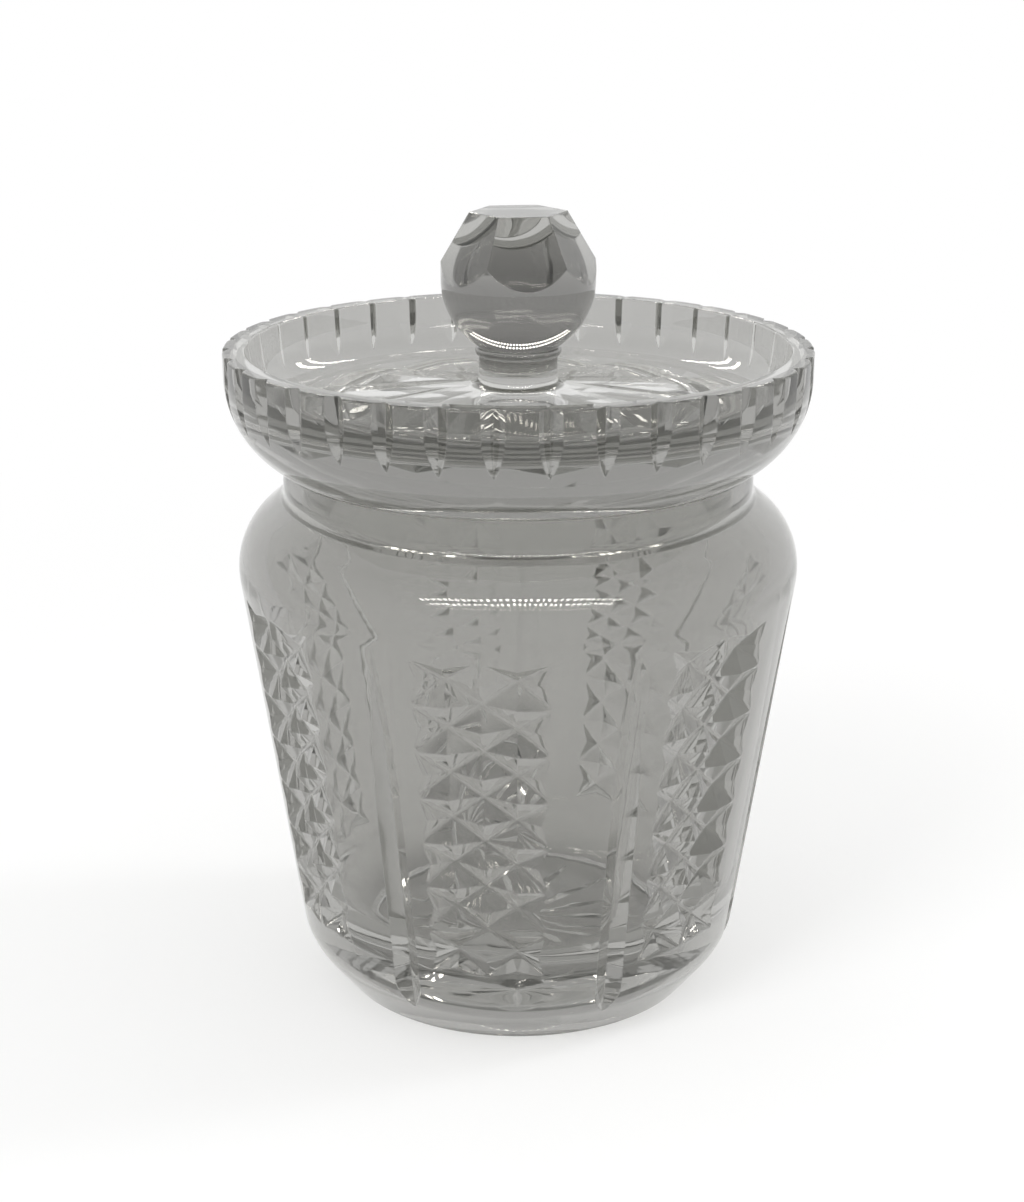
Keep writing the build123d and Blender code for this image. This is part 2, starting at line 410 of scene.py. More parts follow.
def ringed(tool: bmesh.types.BMesh, count: int, first: float) -> bmesh.types.BMesh:
    """Copies of a tool at equal bearings, joined in one mesh.

    Args:
        tool: The tool at bearing 0, which is used up.
        count: How many copies.
        first: Bearing of the first copy.

    Returns:
        The joined tools.
    """
    data = bpy.data.meshes.new("tool")
    tool.to_mesh(data)
    tool.free()
    joined = bmesh.new()
    for i in range(count):
        before = len(joined.verts)
        joined.from_mesh(data)
        joined.verts.ensure_lookup_table()
        turn = Matrix.Rotation(math.radians(first + i * 360 / count), 4, "Z")
        bmesh.ops.transform(joined, matrix=turn, verts=joined.verts[before:])
    bpy.data.meshes.remove(data)
    return joined


def carve(item: bpy.types.Object, tools: Iterable[bmesh.types.BMesh]) -> None:
    """Cuts tools out of an object, one joined tool after another.

    Args:
        item: The object.
        tools: The tools, which are used up.
    """
    for tool in tools:
        cutter = made("cutter", tool)
        cut = item.modifiers.new("cut", "BOOLEAN")
        cut.operation = "DIFFERENCE"
        cut.solver = "EXACT"
        cut.object = cutter
        graph = bpy.context.evaluated_depsgraph_get()
        result = bpy.data.meshes.new_from_object(item.evaluated_get(graph))
        item.modifiers.clear()
        blank, item.data = item.data, result
        bpy.data.meshes.remove(blank)
        bpy.data.meshes.remove(cutter.data)


def polish(item: bpy.types.Object, crease: float = 14.0) -> None:
    """Smooth shading with crisp edges between facets.

    Args:
        item: The object.
        crease: Angle from which an edge stays sharp.
    """
    for face in item.data.polygons:
        face.use_smooth = True
    item.data.set_sharp_from_angle(angle=math.radians(crease))
    item.data.name = item.name


# --- Finishes --------------------------------------------------------------------------------
class Ground(Enum):
    """Band of heights, in millimetres, that is ground matt instead of polished."""

    JAR_RIM = (123.3, 123.75)
    LID_SEAT = (123.55, 124.0)


@dataclass(frozen=True)
class Crystal:
    """Clear crystal: polished, faintly uneven from the fire, with fine wear and a matt ground seat.

    The clear glass is painted grey, as painted shade standing in for a dim room seen through it,
    and the outside is painted darker than the inside. The wall's middle line, as pairs of height and
    radius, says which is which, and reach is the largest of those numbers that it can hold. Clouds
    darken the glass at random, and the glass is darker towards the foot. Scuffs lie near the foot,
    and smudges anywhere. Grains are waves per metre. Light that was mirrored or crossed the surface
    often leaves the glass straight.
    """

    name: str
    ground: Ground
    wall_middle: tuple[tuple[float, float], ...]
    # Painted shade: outside and inside are grey painted on the clear glass in place of a dim room around
    # it, darker on the outer surface.
    outside: tuple[float, float, float] = (0.345, 0.342, 0.326)
    inside: tuple[float, float, float] = (0.93, 0.93, 0.92)
    faint: tuple[float, float, float] = (0.68, 0.68, 0.665)
    # Clouds darken the glass at random towards this colour, and the glass turns darker towards it near the
    # foot.
    cloud_and_foot_dark: tuple[float, float, float] = (0.15, 0.149, 0.142)
    reach: float = 200.0
    seam: float = 0.2
    index: float = 1.545
    edge: float = 0.4
    edge_samples: int = 4
    polished_rough: float = 0.004
    mirrors: int = 2
    crossings: int = 10
    cloud_grain: float = 14.0
    cloud_share: float = 0.06
    foot: float = 12.0
    foot_share: float = 0.6
    wave: float = 0.1
    wave_height: float = 1.2
    wave_grain: float = 55.0
    ripple_grain: float = 210.0
    ripple_share: float = 0.15
    ground_edge: float = 0.1
    ground_rough: float = 0.34
    scuff_grain: float = 900.0
    scuff_band: tuple[float, float] = (0.62, 0.8)
    scuff_rough: float = 0.12
    scuff_relief: float = 0.3
    smudge_grain: float = 38.0
    smudge_band: tuple[float, float] = (0.55, 0.75)
    smudge_rough: float = 0.012

    def tint(self, graph: Graph, radius: Value, height: Value) -> Value:
        """Colour of the glass: a painted grey shade, darker on the outer surface than on the inner.

        Args:
            graph: The material's graph.
            radius: Distance from the axis.
            height: Height above the table.

        Returns:
            The colour.
        """
        stops = [(z / self.reach, (r / self.reach,) * 3) for z, r in self.wall_middle]
        middle = graph.add("ShaderNodeValToRGB", {"Fac": height / (self.reach * MM)}, stops=stops)
        blur = self.seam / self.reach
        # Painted shade: past the wall's middle line, the outer surface takes the darker painted grey.
        outer = (radius / (self.reach * MM) - middle).step(-blur, blur)
        return graph.blend(outer, (*self.inside, 1), (*self.outside, 1))

    def make(self) -> bpy.types.Material:
        """Builds the material.

        Returns:
            The material.
        """
        material = bpy.data.materials.new(self.name)
        graph = Graph(material)
        place = graph.add("ShaderNodeTexCoord", out="Object")
        height = graph.add("ShaderNodeSeparateXYZ", {0: place}, out="Z")
        level = graph.add("ShaderNodeVectorMath", {0: place, 1: (1, 1, 0)}, operation="MULTIPLY")
        radius = graph.add("ShaderNodeVectorMath", {0: level}, out="Value", operation="LENGTH")
        low, high = (limit * MM for limit in self.ground.value)
        blur = self.ground_edge * MM
        matt = height.step(low - blur, low) * height.step(high + blur, high)
        low_end = height.step(self.foot * MM, 0.0)
        scuff = graph.noise(place, self.scuff_grain, detail=6.0).step(*self.scuff_band) * low_end
        smudge = graph.noise(place, self.smudge_grain, detail=3.0).step(*self.smudge_band)
        # Clouds darken the glass at random, and the glass is darker towards the foot.
        darkening = graph.noise(place, self.cloud_grain) * self.cloud_share + low_end * self.foot_share
        tint = graph.blend(darkening, self.tint(graph, radius, height), (*self.cloud_and_foot_dark, 1))
        ripple = graph.noise(place, self.ripple_grain, detail=1.0) * self.ripple_share
        relief = graph.noise(place, self.wave_grain, detail=1.0) + ripple + scuff * self.scuff_relief
        soft = graph.add("ShaderNodeBevel", {"Radius": self.edge * MM}, samples=self.edge_samples)
        bump = graph.add(
            "ShaderNodeBump",
            {
                "Strength": self.wave,
                "Distance": self.wave_height * MM,
                "Height": relief,
                "Normal": soft,
            },
        )
        worn = scuff * self.scuff_rough + smudge * self.smudge_rough
        glass = graph.add(
            "ShaderNodeBsdfPrincipled",
            {
                "Base Color": tint,
                "Roughness": matt * self.ground_rough + worn + self.polished_rough,
                "IOR": self.index,
                "Transmission Weight": 1.0,
                "Normal": bump,
            },
        )
        shade = graph.add("ShaderNodeBsdfTransparent", {"Color": (*self.faint, 1)})
        path = graph.add("ShaderNodeLightPath", out="Is Shadow Ray")
        mirrored = path.other("Glossy Depth").step(self.mirrors - 1, self.mirrors)
        late = path.other("Ray Depth").step(self.crossings - 1, self.crossings)
        through = (path + mirrored + late).clamped()
        surface = graph.add("ShaderNodeMixShader", {0: through, 1: glass, 2: shade})
        graph.add("ShaderNodeOutputMaterial", {"Surface": surface})
        return material

    def dress(self, item: bpy.types.Object) -> None:
        """Puts the finish on an object.

        Args:
            item: The object.
        """
        item.data.materials.clear()
        item.data.materials.append(self.make())


@dataclass(frozen=True)
class KnobbedCrystal(Crystal):
    """Lid crystal: painted shade darkens the knob, and painted light brightens its crown."""

    # Painted shade darkens the knob's body, and painted light brightens its crown, within the bands of
    # height and radius below.
    knob: tuple[float, float, float] = (0.2, 0.198, 0.19)
    crown: tuple[float, float, float] = (0.47, 0.467, 0.45)
    knob_band: tuple[float, float] = (142.0, 146.0)
    knob_reach: tuple[float, float] = (25.0, 24.0)
    crown_band: tuple[float, float] = (160.0, 176.0)

    def tint(self, graph: Graph, radius: Value, height: Value) -> Value:
        """Colour of the glass, with painted shade on the knob and painted light on its crown.

        Args:
            graph: The material's graph.
            radius: Distance from the axis.
            height: Height above the table.

        Returns:
            The colour.
        """
        near = radius.step(*(limit * MM for limit in self.knob_reach))
        above = height.step(*(limit * MM for limit in self.knob_band))
        rise = height.step(*(limit * MM for limit in self.crown_band))
        # Painted shade on the knob's body, turning to painted light towards its crown.
        ball = graph.blend(rise, (*self.knob, 1), (*self.crown, 1))
        return graph.blend(near * above, super().tint(graph, radius, height), ball)


JAR_CRYSTAL = Crystal(
    "jar_crystal",
    Ground.JAR_RIM,
    ((0, 0), (10, 0), (10.5, 47), (14, 48), (97, 59.8), (106, 57), (112.5, 52.5), (116, 51), (124, 51)),
)
# Painted shade: the lid's grey is painted darker than the jar's. Its flange lies inside the middle line
# and takes only the lighter inside grey, so that the walls in the neck don't add up too dark.
LID_CRYSTAL = KnobbedCrystal(
    "lid_crystal",
    Ground.LID_SEAT,
    ((0, 90), (123, 90), (123.4, 50), (131, 51), (134, 58), (143, 62), (149.5, 62.8), (180, 62.8)),
    outside=(0.26, 0.258, 0.246),
    inside=(0.8, 0.8, 0.785),
)


# --- The jar ---------------------------------------------------------------------------------
@dataclass
class Jar:
    """The jar: turned wall, diamond panels, long blades and a star under the base."""

    body_radius: float = 63.3
    widest_height: float = 99.5
    shoulder_round: float = 17.0
    side_lean: float = 8.3
    shoulder_lean: float = 50.0
    heel_height: float = 10.9
    heel_lean: float = 38.5
    heel_round: float = 16.0
    neck_radius: float = 52.8
    neck_round: float = 3.0
    seat_height: float = 123.6
    wall: float = 6.5
    floor: float = 14.0
    inner_heel_round: float = 20.0
    neck_wall: float = 3.8
    edge_round: float = 0.6
    foot_width: float = 3.0
    base_hollow: float = 1.2
    panels: int = 7
    panel_bearing: float = -7.5
    panel_top: float = 96.3
    diamond_angle: float = 14.4
    diamond_height: float = 11.06
    diamond_rows: int = 7
    diamond_columns: int = 2
    diamond_depth: float = 2.9
    point_sink: float = 0.1
    groove_fade: float = 0.3
    groove_width: float = 0.12
    groove_lift: float = 0.16
    groove_steps: int = 3
    border_rise: float = 1.6
    blade_top: float = 98.0
    blade_depth: float = 2.0
    blade_entry: float = 45.0
    blade_steps: int = 14
    blade_flare: float = 59.0
    blade_shift: float = 4.6
    star_rays: int = 16
    star_depth: float = 2.8
    star_cleft: float = 0.5
    tool_clear: float = 4.0

    def __post_init__(self) -> None:
        """Works out the outline's lines."""
        middle = self.body_radius - self.shoulder_round
        bend, rise = self.shoulder_round, self.widest_height
        self.side = Line(
            middle + bend * cosine(self.side_lean), rise - bend * sine(self.side_lean), self.side_lean
        )
        self.shoulder = Line(
            middle + bend * cosine(self.shoulder_lean),
            rise + bend * sine(self.shoulder_lean),
            -self.shoulder_lean,
        )
        self.heel = Line(self.side.at(self.heel_height), self.heel_height, self.heel_lean)
        self.foot_inside = self.heel.at(0) - self.foot_width

    def outline(self) -> list[Vector]:
        """The turned wall from under the base, over the rim, to the inside of the bottom.

        Returns:
            The outline's points.
        """
        inner, inner_shoulder = self.side.inward(self.wall), self.shoulder.inward(self.wall)
        mouth = self.neck_radius - self.neck_wall
        return rounded(
            [
                (0, self.base_hollow, 0),
                (self.foot_inside - self.base_hollow, self.base_hollow, 0),
                (self.foot_inside, 0, 0),
                (self.heel.at(0), 0, self.edge_round),
                (*self.heel.meets(self.side), self.heel_round),
                (*self.side.meets(self.shoulder), self.shoulder_round),
                (self.neck_radius, self.shoulder.up_to(self.neck_radius), self.neck_round),
                (self.neck_radius, self.seat_height, self.edge_round),
                (mouth, self.seat_height, self.edge_round),
                (mouth, inner_shoulder.up_to(mouth), self.edge_round),
                (*inner.meets(inner_shoulder), self.shoulder_round - self.wall),
                (inner.at(self.floor), self.floor, self.inner_heel_round),
                (0, self.floor, 0),
            ]
        )

    def side_point(self, bearing: float, travel: float, depth: float) -> Vector:
        """Point under the side, a way down along it from the panels' top.

        Args:
            bearing: Its bearing.
            travel: The way down along the side.
            depth: How far under the side; below 0 it is outside.

        Returns:
            The point.
        """
        lean = self.side_lean
        radius = self.side.at(self.panel_top) - travel * sine(lean) - depth * cosine(lean)
        return polar(radius, bearing, self.panel_top - travel * cosine(lean) + depth * sine(lean))

    def panel_tool(self) -> bmesh.types.BMesh:
        """Tool of one diamond panel: mitre grooves on a lattice that run out at its border.

        The lattice counts half diamonds: columns on either side of its middle, and rows downwards.
        Grooves cross where column and row add up to an even number, and points lie between.

        Returns:
            The closed tool.
        """
        columns, rows = self.diamond_columns, 2 * self.diamond_rows

        def corner(column: int, row: int) -> Vector:
            """Place of a lattice corner.

            Args:
                column: Its column.
                row: Its row.

            Returns:
                The place.
            """
            border = abs(column) == columns or row in (0, rows)
            if (column + row) % 2 == 0:
                depth = -self.groove_fade if border else self.diamond_depth
            else:
                depth = -self.border_rise if border else self.point_sink
            return self.side_point(column * self.diamond_angle / 2, row * self.diamond_height / 2, depth)

        def inside(column: int, row: int) -> bool:
            """Whether a corner belongs to the panel."""
            return abs(column) <= columns and 0 <= row <= rows

        def flank(base: tuple[int, int], tip: tuple[int, int]) -> list[Vector]:
            """Places from a groove's rounded bottom up its flank, towards a point.

            Args:
                base: Column and row where grooves cross.
                tip: Column and row of the point.

            Returns:
                The places.
            """
            out = polar(1, base[0] * self.diamond_angle / 2, 0)
            places = []
            for step in range(self.groove_steps + 1):
                share = step / self.groove_steps
                place = corner(*base).lerp(corner(*tip), self.groove_width * share)
                places.append(place + out * self.groove_lift * (1 - share) ** 2)
            return places

        def facet(tip: tuple[int, int], first: tuple[int, int], second: tuple[int, int]) -> list[Triangle]:
            """One facet, as strips over the rounded bottom of its groove and a triangle above them.

            Args:
                tip: Column and row of the point.
                first: Column and row where the groove starts.
                second: Column and row where it ends.

            Returns:
                The triangles.
            """
            left, right = flank(first, tip), flank(second, tip)
            triangles = [(corner(*tip), left[-1], right[-1])]
            for a, b, c, d in zip(left, right, left[1:], right[1:]):
                triangles += [(a, b, c), (b, d, c)]
            return triangles

        def border(first: tuple[int, int], second: tuple[int, int]) -> list[Vector]:
            """Places along the panel's border, from one corner up to the next.

            Args:
                first: Column and row of the one corner.
                second: Column and row of the next.

            Returns:
                The places.
            """
            if sum(first) % 2 == 0:
                return flank(first, second)
            return [corner(*first), *reversed(flank(second, first)[1:])]

        facets = []
        for column in range(-columns, columns + 1):
            for row in range(rows + 1):
                if (column + row) % 2 == 0:
                    continue
                ring = [(column, row - 1), (column + 1, row), (column, row + 1), (column - 1, row)]
                for first, second in zip(ring, ring[1:] + ring[:1]):
                    if inside(*first) and inside(*second):
                        facets += facet((column, row), first, second)
        top = [(column, 0) for column in range(-columns, columns)]
        right = [(columns, row) for row in range(rows)]
        bottom = [(column, rows) for column in range(columns, -columns, -1)]
        left = [(-columns, row) for row in range(rows, 0, -1)]
        around = top + right + bottom + left
        rim = [place for pair in zip(around, around[1:] + around[:1]) for place in border(*pair)]
        length = self.diamond_rows * self.diamond_height
        return facet_tool(facets, rim, self.side_point(0, length / 2, -length))

    def blade_tool(self) -> bmesh.types.BMesh:
        """Tool of one long blade, which dips into the side and runs down past the heel.

        Returns:
            The closed tool.
        """
        length = (self.blade_top - self.heel_height) / cosine(self.side_lean) + self.shoulder_round
        stations = [self.blade_entry * i / self.blade_steps for i in range(self.blade_steps + 1)]
        stations.append(length)
        start = (self.panel_top - self.blade_top) / cosine(self.side_lean)
        edge, left, right = [], [], []
        for travel in stations:
            depth = self.blade_depth * (1 - max(1 - travel / self.blade_entry, 0) ** 2)
            spread = Vector(((depth + self.tool_clear) * slope(self.blade_flare), 0, 0))
            edge.append(self.side_point(0, start + travel, depth))
            left.append(self.side_point(0, start + travel, -self.tool_clear) - spread)
            right.append(self.side_point(0, start + travel, -self.tool_clear) + spread)
        facets = []
        for border in (left, right):
            for i in range(len(stations) - 1):
                facets.append((edge[i], edge[i + 1], border[i]))
                facets.append((edge[i + 1], border[i + 1], border[i]))
        rim = [*left, edge[-1], *reversed(right), edge[0]]
        return facet_tool(facets, rim, self.side_point(0, start + length / 2, -length))

    def star_tool(self) -> bmesh.types.BMesh:
        """Tool of the base star: rays that meet in the middle and run out at the foot ring.

        Returns:
            The closed tool.
        """
        reach = self.foot_inside - self.base_hollow
        middle = Vector((0, 0, self.base_hollow + self.star_depth))
        outside = self.base_hollow - self.groove_fade
        step = 360 / self.star_rays
        rim = []
        for ray in range(self.star_rays):
            rim.append(polar(reach, ray * step, outside))
            rim.append(polar(reach * self.star_cleft, (ray + 0.5) * step, outside))
        facets = [(middle, rim[i - 1], rim[i]) for i in range(len(rim))]
        return facet_tool(facets, rim, Vector((0, 0, -reach)))

    def build(self, finish: Crystal) -> bpy.types.Object:
        """Turns, cuts, polishes and dresses the jar.

        Args:
            finish: Its glass.

        Returns:
            The jar.
        """
        item = made("crystal_jar", turned(self.outline()))
        pitch = 360 / self.panels
        carve(
            item,
            [
                ringed(self.panel_tool(), self.panels, self.panel_bearing),
                ringed(self.blade_tool(), self.panels, self.panel_bearing + pitch / 2 + self.blade_shift),
                self.star_tool(),
            ],
        )
        polish(item)
        finish.dress(item)
        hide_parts("jar_body")
        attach(item, "jar")
        return item


# --- The lid ---------------------------------------------------------------------------------
@dataclass
class Lid:
    """The lid: flange, dished plate, fluted gallery and the faceted knob, one piece of glass."""

    mouth_radius: float = 49.0
    play: float = 0.7
    seat: float = 123.7
    seat_edge: float = 53.4
    flange_depth: float = 12.0
    flange_wall: float = 4.5
    plate_underside: float = 7.4
    plate_middle: float = 16.4
    plate_fall: float = 5.2
    gallery_radius: float = 65.2
    gallery_height: float = 25.4
    gallery_lip: float = 5.6
    gallery_wall: float = 4.9
    gallery_lean: float = 7.0
    gallery_hollow: float = 9.0
    edge_round: float = 0.6
    flutes: int = 36
    flute_depth: float = 1.8
    flute_flare: float = 54.0
    flute_bearing: float = -4.5
    petals: int = 12
    petal_depth: float = 1.5
    petal_start: float = 12.5
    petal_reach: float = 48.0
    petal_run_out: float = 4.0
    petal_share: float = 0.9
    ball_radius: float = 17.1
    ball_height: float = 39.69
    knob_top: float = 54.59
    knob_top_radius: float = 9.34
    knob_facets: int = 6
    facet_lean: float = 27.5
    facet_bearing: float = 7.0
    stem_radius: float = 8.75
    stem_flare: float = 2.2
    ring_radius: float = 9.6
    ring_height: float = 2.0
    groove_fade: float = 0.3
    tool_clear: float = 2.0
    apex_share: float = 0.7
    round_turn: float = 3.0
    flare_turn: float = 10.0
    bead_turn: float = 12.0

    def plate_top(self, radius: float) -> float:
        """Height of the plate's top at a radius."""
        start = self.stem_radius + self.stem_flare
        return self.seat + self.plate_middle - max(radius - start, 0) * slope(self.plate_fall)

    def knob_outline(self) -> list[Vector]:
        """Outline of stem, bead and ball, from the plate up to the axis.

        Returns:
            The outline's points.
        """
        foot = self.seat + self.plate_middle
        middle, top = self.seat + self.ball_height, self.seat + self.knob_top
        drop = math.sqrt(self.ball_radius**2 - self.stem_radius**2)
        bead = Vector((self.stem_radius, middle - drop - self.ring_height / 2))
        flare = Vector((self.stem_radius + self.stem_flare, foot + self.stem_flare))
        bulge, half = self.ring_radius - self.stem_radius, self.ring_height / 2
        radius = (bulge**2 + half**2) / (2 * bulge)
        heart = bead - Vector((radius - bulge, 0))
        swing = math.degrees(math.asin(half / radius))
        low = bead - Vector((0, half))
        ball = Vector((0, middle))
        reach = math.degrees(math.acos(self.stem_radius / self.ball_radius))
        return [
            *arc(flare, flare - Vector((0, self.stem_flare)), -90, self.flare_turn),
            *arc(heart, low, 2 * swing, self.bead_turn),
            *arc(ball, Vector((self.stem_radius, middle - drop)), reach, self.round_turn)[1:],
            Vector((self.ball_radius, top)),
            Vector((0, top)),
        ]

    def outline(self) -> list[Vector]:
        """The whole turned outline, from under the plate, round the gallery, to the knob's top.

        Returns:
            The outline's points.
        """
        flange = self.mouth_radius - self.play
        inside = flange - self.flange_wall
        hollow, bottom = self.seat + self.plate_underside, self.seat - self.flange_depth
        top = self.seat + self.gallery_height
        lip = top - self.gallery_lip
        out = self.gallery_radius - self.seat_edge
        bend = (out**2 + (lip - self.seat) ** 2) / (2 * out)
        centre = Vector((self.gallery_radius - bend, lip))
        seat_point = Vector((self.seat_edge, self.seat))
        sweep = math.degrees((Vector((1, 0))).angle(seat_point - centre))
        wall = Line(self.gallery_radius - self.gallery_wall, top, self.gallery_lean)
        plate_edge = wall.meets(
            Line(self.stem_radius + self.stem_flare, self.seat + self.plate_middle, self.plate_fall - 90)
        )
        under = rounded(
            [
                (0, hollow, 0),
                (inside, hollow, self.flange_wall),
                (inside, bottom, self.edge_round),
                (flange, bottom, self.edge_round),
                (flange, self.seat, 0),
            ]
        )
        over = rounded(
            [
                (self.gallery_radius, lip, 0),
                (self.gallery_radius, top, self.edge_round),
                (wall.radius, top, self.edge_round),
                (*plate_edge, self.gallery_hollow),
                (self.stem_radius + self.stem_flare, self.seat + self.plate_middle, 0),
            ]
        )
        bowl = arc(centre, seat_point, sweep, self.round_turn)
        return [*under, *bowl, *over[1:-1], *self.knob_outline()]

    def flute_tool(self) -> bmesh.types.BMesh:
        """Tool of one flute: an upright mitre that notches the rim and runs out on the bowl.

        Returns:
            The closed tool.
        """
        radius = self.gallery_radius - self.flute_depth
        foot = polar(radius, 0, self.seat)
        head = polar(radius, 0, self.seat + self.gallery_height + self.tool_clear)
        clear = self.flute_depth + self.tool_clear
        return mitre_tool(foot, head, polar(1, 0, 0), self.flute_flare, clear)

    def petal_tool(self) -> bmesh.types.BMesh:
        """Tool of one petal: a shallow mitre that widens outwards and ends in a blunt hip.

        Returns:
            The closed tool.
        """
        reach, fade = self.petal_reach, self.groove_fade
        half = reach * slope(180 / self.petals) * self.petal_share
        end = reach + self.petal_run_out
        point = polar(self.petal_start, 0, self.plate_top(self.petal_start) + fade)
        deep = polar(reach, 0, self.plate_top(reach) - self.petal_depth)
        tip = polar(end, 0, self.plate_top(end) + self.petal_depth)
        left, right = (Vector((side * half, deep.y, self.plate_top(reach) + fade)) for side in (-1, 1))
        rim = [point, right, tip, left]
        facets = [(deep, rim[i - 1], rim[i]) for i in range(len(rim))]
        apex = polar(reach * self.apex_share, 0, self.seat + self.plate_middle + reach)
        return facet_tool(facets, rim, apex)

    def facet_block(self) -> bmesh.types.BMesh:
        """Block of waste outside one facet of the knob.

        Returns:
            The block.
        """
        top = self.seat + self.knob_top
        width = 2 * self.ball_radius
        mesh = bmesh.new()
        bmesh.ops.create_cube(mesh, size=1.0)
        lean = Matrix.Rotation(math.radians(-self.facet_lean), 4, "X")
        place = Matrix.Translation(polar(self.knob_top_radius, 0, top)) @ lean
        shift = Matrix.Translation((0, -width / 2, 0))
        size = Matrix.Diagonal((2 * width, width, 2 * width, 1))
        bmesh.ops.transform(mesh, matrix=place @ shift @ size, verts=mesh.verts)
        return mesh

    def build(self, finish: Crystal) -> bpy.types.Object:
        """Turns, cuts, polishes and dresses the lid.

        Args:
            finish: Its glass.

        Returns:
            The lid.
        """
        item = made("crystal_lid", turned(self.outline()))
        tools = [
            ringed(self.flute_tool(), self.flutes, self.flute_bearing),
            ringed(self.petal_tool(), self.petals, self.facet_bearing),
        ]
        for i in range(self.knob_facets):
            tools.append(ringed(self.facet_block(), 1, self.facet_bearing + i * 360 / self.knob_facets))
        carve(item, tools)
        polish(item)
        finish.dress(item)
        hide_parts("lid", "lid_knob")
        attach(item, "lid")
        return item


# --- The studio ------------------------------------------------------------------------------
@dataclass(frozen=True)
class Lamp:
    """A rectangular lamp: its place and size in metres, and its power in watts."""

    name: str
    place: tuple[float, float, float]
    size: tuple[float, float]
    watts: float


LAMPS = (
    Lamp("key", (-0.7, -0.9, 1.1), (0.5, 0.5), 9.0),
    Lamp("fill", (0.9, 0.2, 0.8), (0.2, 0.6), 4.0),
)


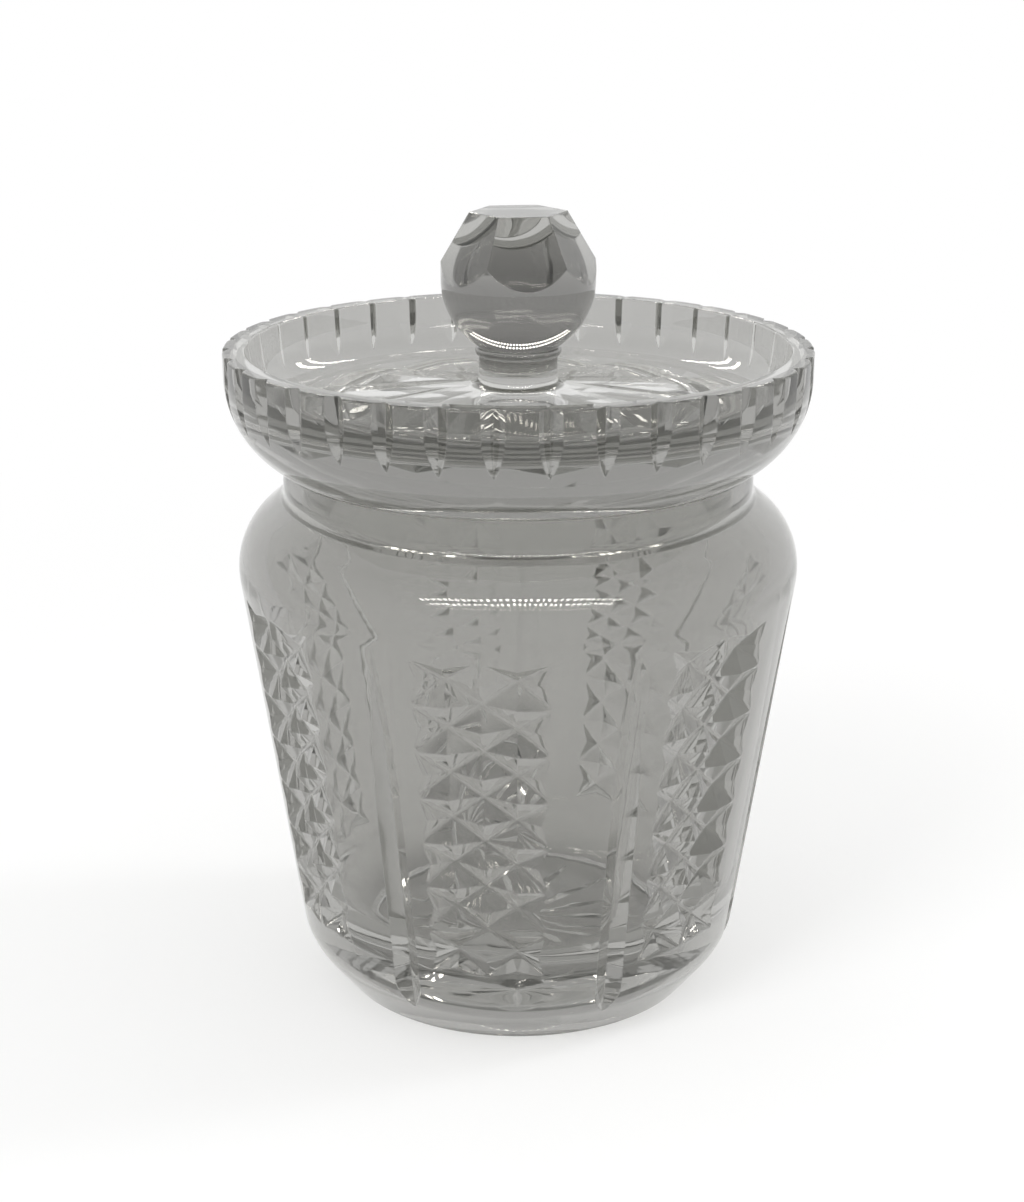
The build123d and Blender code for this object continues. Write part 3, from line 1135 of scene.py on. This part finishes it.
@dataclass
class Studio:
    """Pale floor, white room, lamps and the camera.

    The camera, the floor and what the lamps aim at are in metres. The ceiling lights, two rows of
    small panes each, are in millimetres, and their panes are spaced by equal turns, as seen from
    the jar. The room is white low down and dims towards the ceiling.
    """

    distance: float = 0.483
    camera_height: float = 0.247
    aside: float = -0.0014
    pitch: float = 18.1
    lens: float = 66.2
    sensor: float = 36.0
    nearest: float = 0.01
    aim: float = 0.09
    floor_size: float = 8.0
    floor_sides: int = 96
    floor_grain: float = 3.0
    floor_rough: float = 0.9
    floor_colours: tuple[tuple[float, ...], ...] = ((0.88, 0.88, 0.875, 1), (0.9, 0.9, 0.895, 1))
    glow_least: float = 0.4
    glow_band: tuple[float, float] = (0.05, 0.5)
    ceiling: float = 0.7
    ceiling_band: tuple[float, float] = (0.85, 0.25)
    plain_light: float = 0.8
    spots: int = 34
    spot_turn: float = 2.1
    spot_reach: float = 520.0
    spot_depth: float = 34.0
    row_pitch: float = 84.0
    pane_share: float = 0.4
    spot_glow: float = 34.0
    spot_least: float = 0.65
    spot_grain: float = 20.0
    spot_colour: tuple[float, ...] = (1.0, 0.97, 0.92, 1)
    spots_front: tuple[float, float, float] = (13, -420, 488)
    spots_back: tuple[float, float, float] = (-20, 420, 488)

    def seen(self, graph: Graph) -> Value:
        """1 for what is seen, also mirrored or through glass; 0 for light that falls on things."""
        path = graph.add("ShaderNodeLightPath", out="Is Camera Ray")
        return (path + path.other("Is Glossy Ray") + path.other("Is Transmission Ray")).clamped()

    def build_floor(self) -> bpy.types.Object:
        """Makes the pale floor, which keeps the jar's shadow.

        Returns:
            The floor.
        """
        mesh = bmesh.new()
        size = self.floor_size / MM
        bmesh.ops.create_circle(mesh, cap_ends=True, radius=size, segments=self.floor_sides)
        floor = made("floor", mesh)
        material = bpy.data.materials.new("studio_floor")
        graph = Graph(material)
        place = graph.add("ShaderNodeTexCoord", out="Object")
        shade = graph.blend(graph.noise(place, self.floor_grain), *self.floor_colours)
        sockets = {"Base Color": shade, "Roughness": self.floor_rough}
        matt = graph.add("ShaderNodeBsdfPrincipled", sockets)
        reach = graph.add("ShaderNodeVectorMath", {0: place}, out="Value", operation="LENGTH")
        white = graph.add("ShaderNodeEmission", {"Color": (1, 1, 1, 1), "Strength": 1.0})
        glow = reach.step(*self.glow_band) * (1 - self.glow_least) + self.glow_least
        share = self.seen(graph) * glow
        surface = graph.add("ShaderNodeMixShader", {0: share, 1: matt, 2: white})
        graph.add("ShaderNodeOutputMaterial", {"Surface": surface})
        floor.data.materials.append(material)
        return floor

    def build_world(self) -> None:
        """Makes the room: white where it is seen, plain where it lights, with a dim ceiling."""
        world = bpy.data.worlds.new("studio_room")
        bpy.context.scene.world = world
        graph = Graph(world)
        way = graph.add("ShaderNodeTexCoord", out="Generated")
        rise = graph.add("ShaderNodeSeparateXYZ", {0: way}, out="Z")
        room = rise.step(*self.ceiling_band) * (1 - self.ceiling) + self.ceiling
        path = graph.add("ShaderNodeLightPath", out="Is Camera Ray")
        through = (path.other("Is Glossy Ray") + path.other("Is Transmission Ray")).clamped()
        strength = path + (1 - path) * (through * room + (1 - through) * self.plain_light)
        sky = graph.add("ShaderNodeBackground", {"Color": (1, 1, 1, 1), "Strength": strength})
        graph.add("ShaderNodeOutputWorld", {"Surface": sky})

    def build_lamp(self, lamp: Lamp) -> None:
        """Makes one lamp that points at the jar and doesn't show in its glass.

        Args:
            lamp: The lamp.
        """
        light = bpy.data.lights.new(lamp.name, "AREA")
        light.shape = "RECTANGLE"
        light.size, light.size_y = lamp.size
        light.energy = lamp.watts
        item = bpy.data.objects.new(lamp.name, light)
        item.location = lamp.place
        way = Vector((0, 0, self.aim)) - Vector(lamp.place)
        item.rotation_euler = way.to_track_quat("-Z", "Y").to_euler()
        item.visible_glossy = item.visible_transmission = False
        bpy.context.scene.collection.objects.link(item)

    def build_spots(self, name: str, middle: Sequence[float]) -> bpy.types.Object:
        """Makes a ceiling light of two rows of small bright panes, which shows in the glass alone.

        Args:
            name: Name of the light.
            middle: Its middle, in millimetres.

        Returns:
            The light.
        """
        mesh = bmesh.new()
        sides = (-1, 1)
        for row in sides:
            near, far = ((row * self.row_pitch + side * self.spot_depth) / 2 for side in sides)
            for i in range(self.spots):
                place = i + 0.5 - self.spots / 2
                turns = [self.spot_turn * (place + side * self.pane_share / 2) for side in sides]
                left, right = (self.spot_reach * slope(turn) for turn in turns)
                corners = ((left, near), (left, far), (right, far), (right, near))
                mesh.faces.new([mesh.verts.new((*corner, 0)) for corner in corners])
        bmesh.ops.translate(mesh, vec=middle, verts=mesh.verts)
        light = made(name, mesh)
        material = bpy.data.materials.new(name)
        graph = Graph(material)
        noise = graph.noise(graph.add("ShaderNodeTexCoord", out="Object"), self.spot_grain)
        direct = graph.add("ShaderNodeLightPath", out="Transparent Depth").step(1, 0)
        share = (noise * (1 - self.spot_least) + self.spot_least) * direct
        glow = graph.blend(share, (0, 0, 0, 1), self.spot_colour)
        shine = graph.add("ShaderNodeEmission", {"Color": glow, "Strength": self.spot_glow})
        graph.add("ShaderNodeOutputMaterial", {"Surface": shine})
        light.data.materials.append(material)
        light.visible_camera = light.visible_diffuse = light.visible_shadow = False
        return light

    def build_camera(self) -> None:
        """Makes the camera: a little above the lid, looking down at the front."""
        camera = bpy.data.cameras.new("camera")
        camera.lens = self.lens
        camera.sensor_width = self.sensor
        camera.clip_start = self.nearest
        item = bpy.data.objects.new("camera", camera)
        item.location = (self.aside, -self.distance, self.camera_height)
        item.rotation_euler = (math.radians(90 - self.pitch), 0, 0)
        bpy.context.scene.collection.objects.link(item)
        bpy.context.scene.camera = item

    def build(self) -> None:
        """Makes floor, room, lamps and camera."""
        self.build_floor()
        self.build_world()
        for lamp in LAMPS:
            self.build_lamp(lamp)
        self.build_spots("spots_front", self.spots_front)
        self.build_spots("spots_back", self.spots_back)
        self.build_camera()
        bpy.context.scene.view_settings.view_transform = "Standard"


def main() -> None:
    """Builds the jar, the lid and the studio."""
    logging.basicConfig(level=logging.INFO, format="%(name)s: %(message)s")
    jar = Jar().build(JAR_CRYSTAL)
    LOG.info("%s has %d faces", jar.name, len(jar.data.polygons))
    lid = Lid().build(LID_CRYSTAL)
    LOG.info("%s has %d faces", lid.name, len(lid.data.polygons))
    Studio().build()


if __name__ == "__main__":
    main()
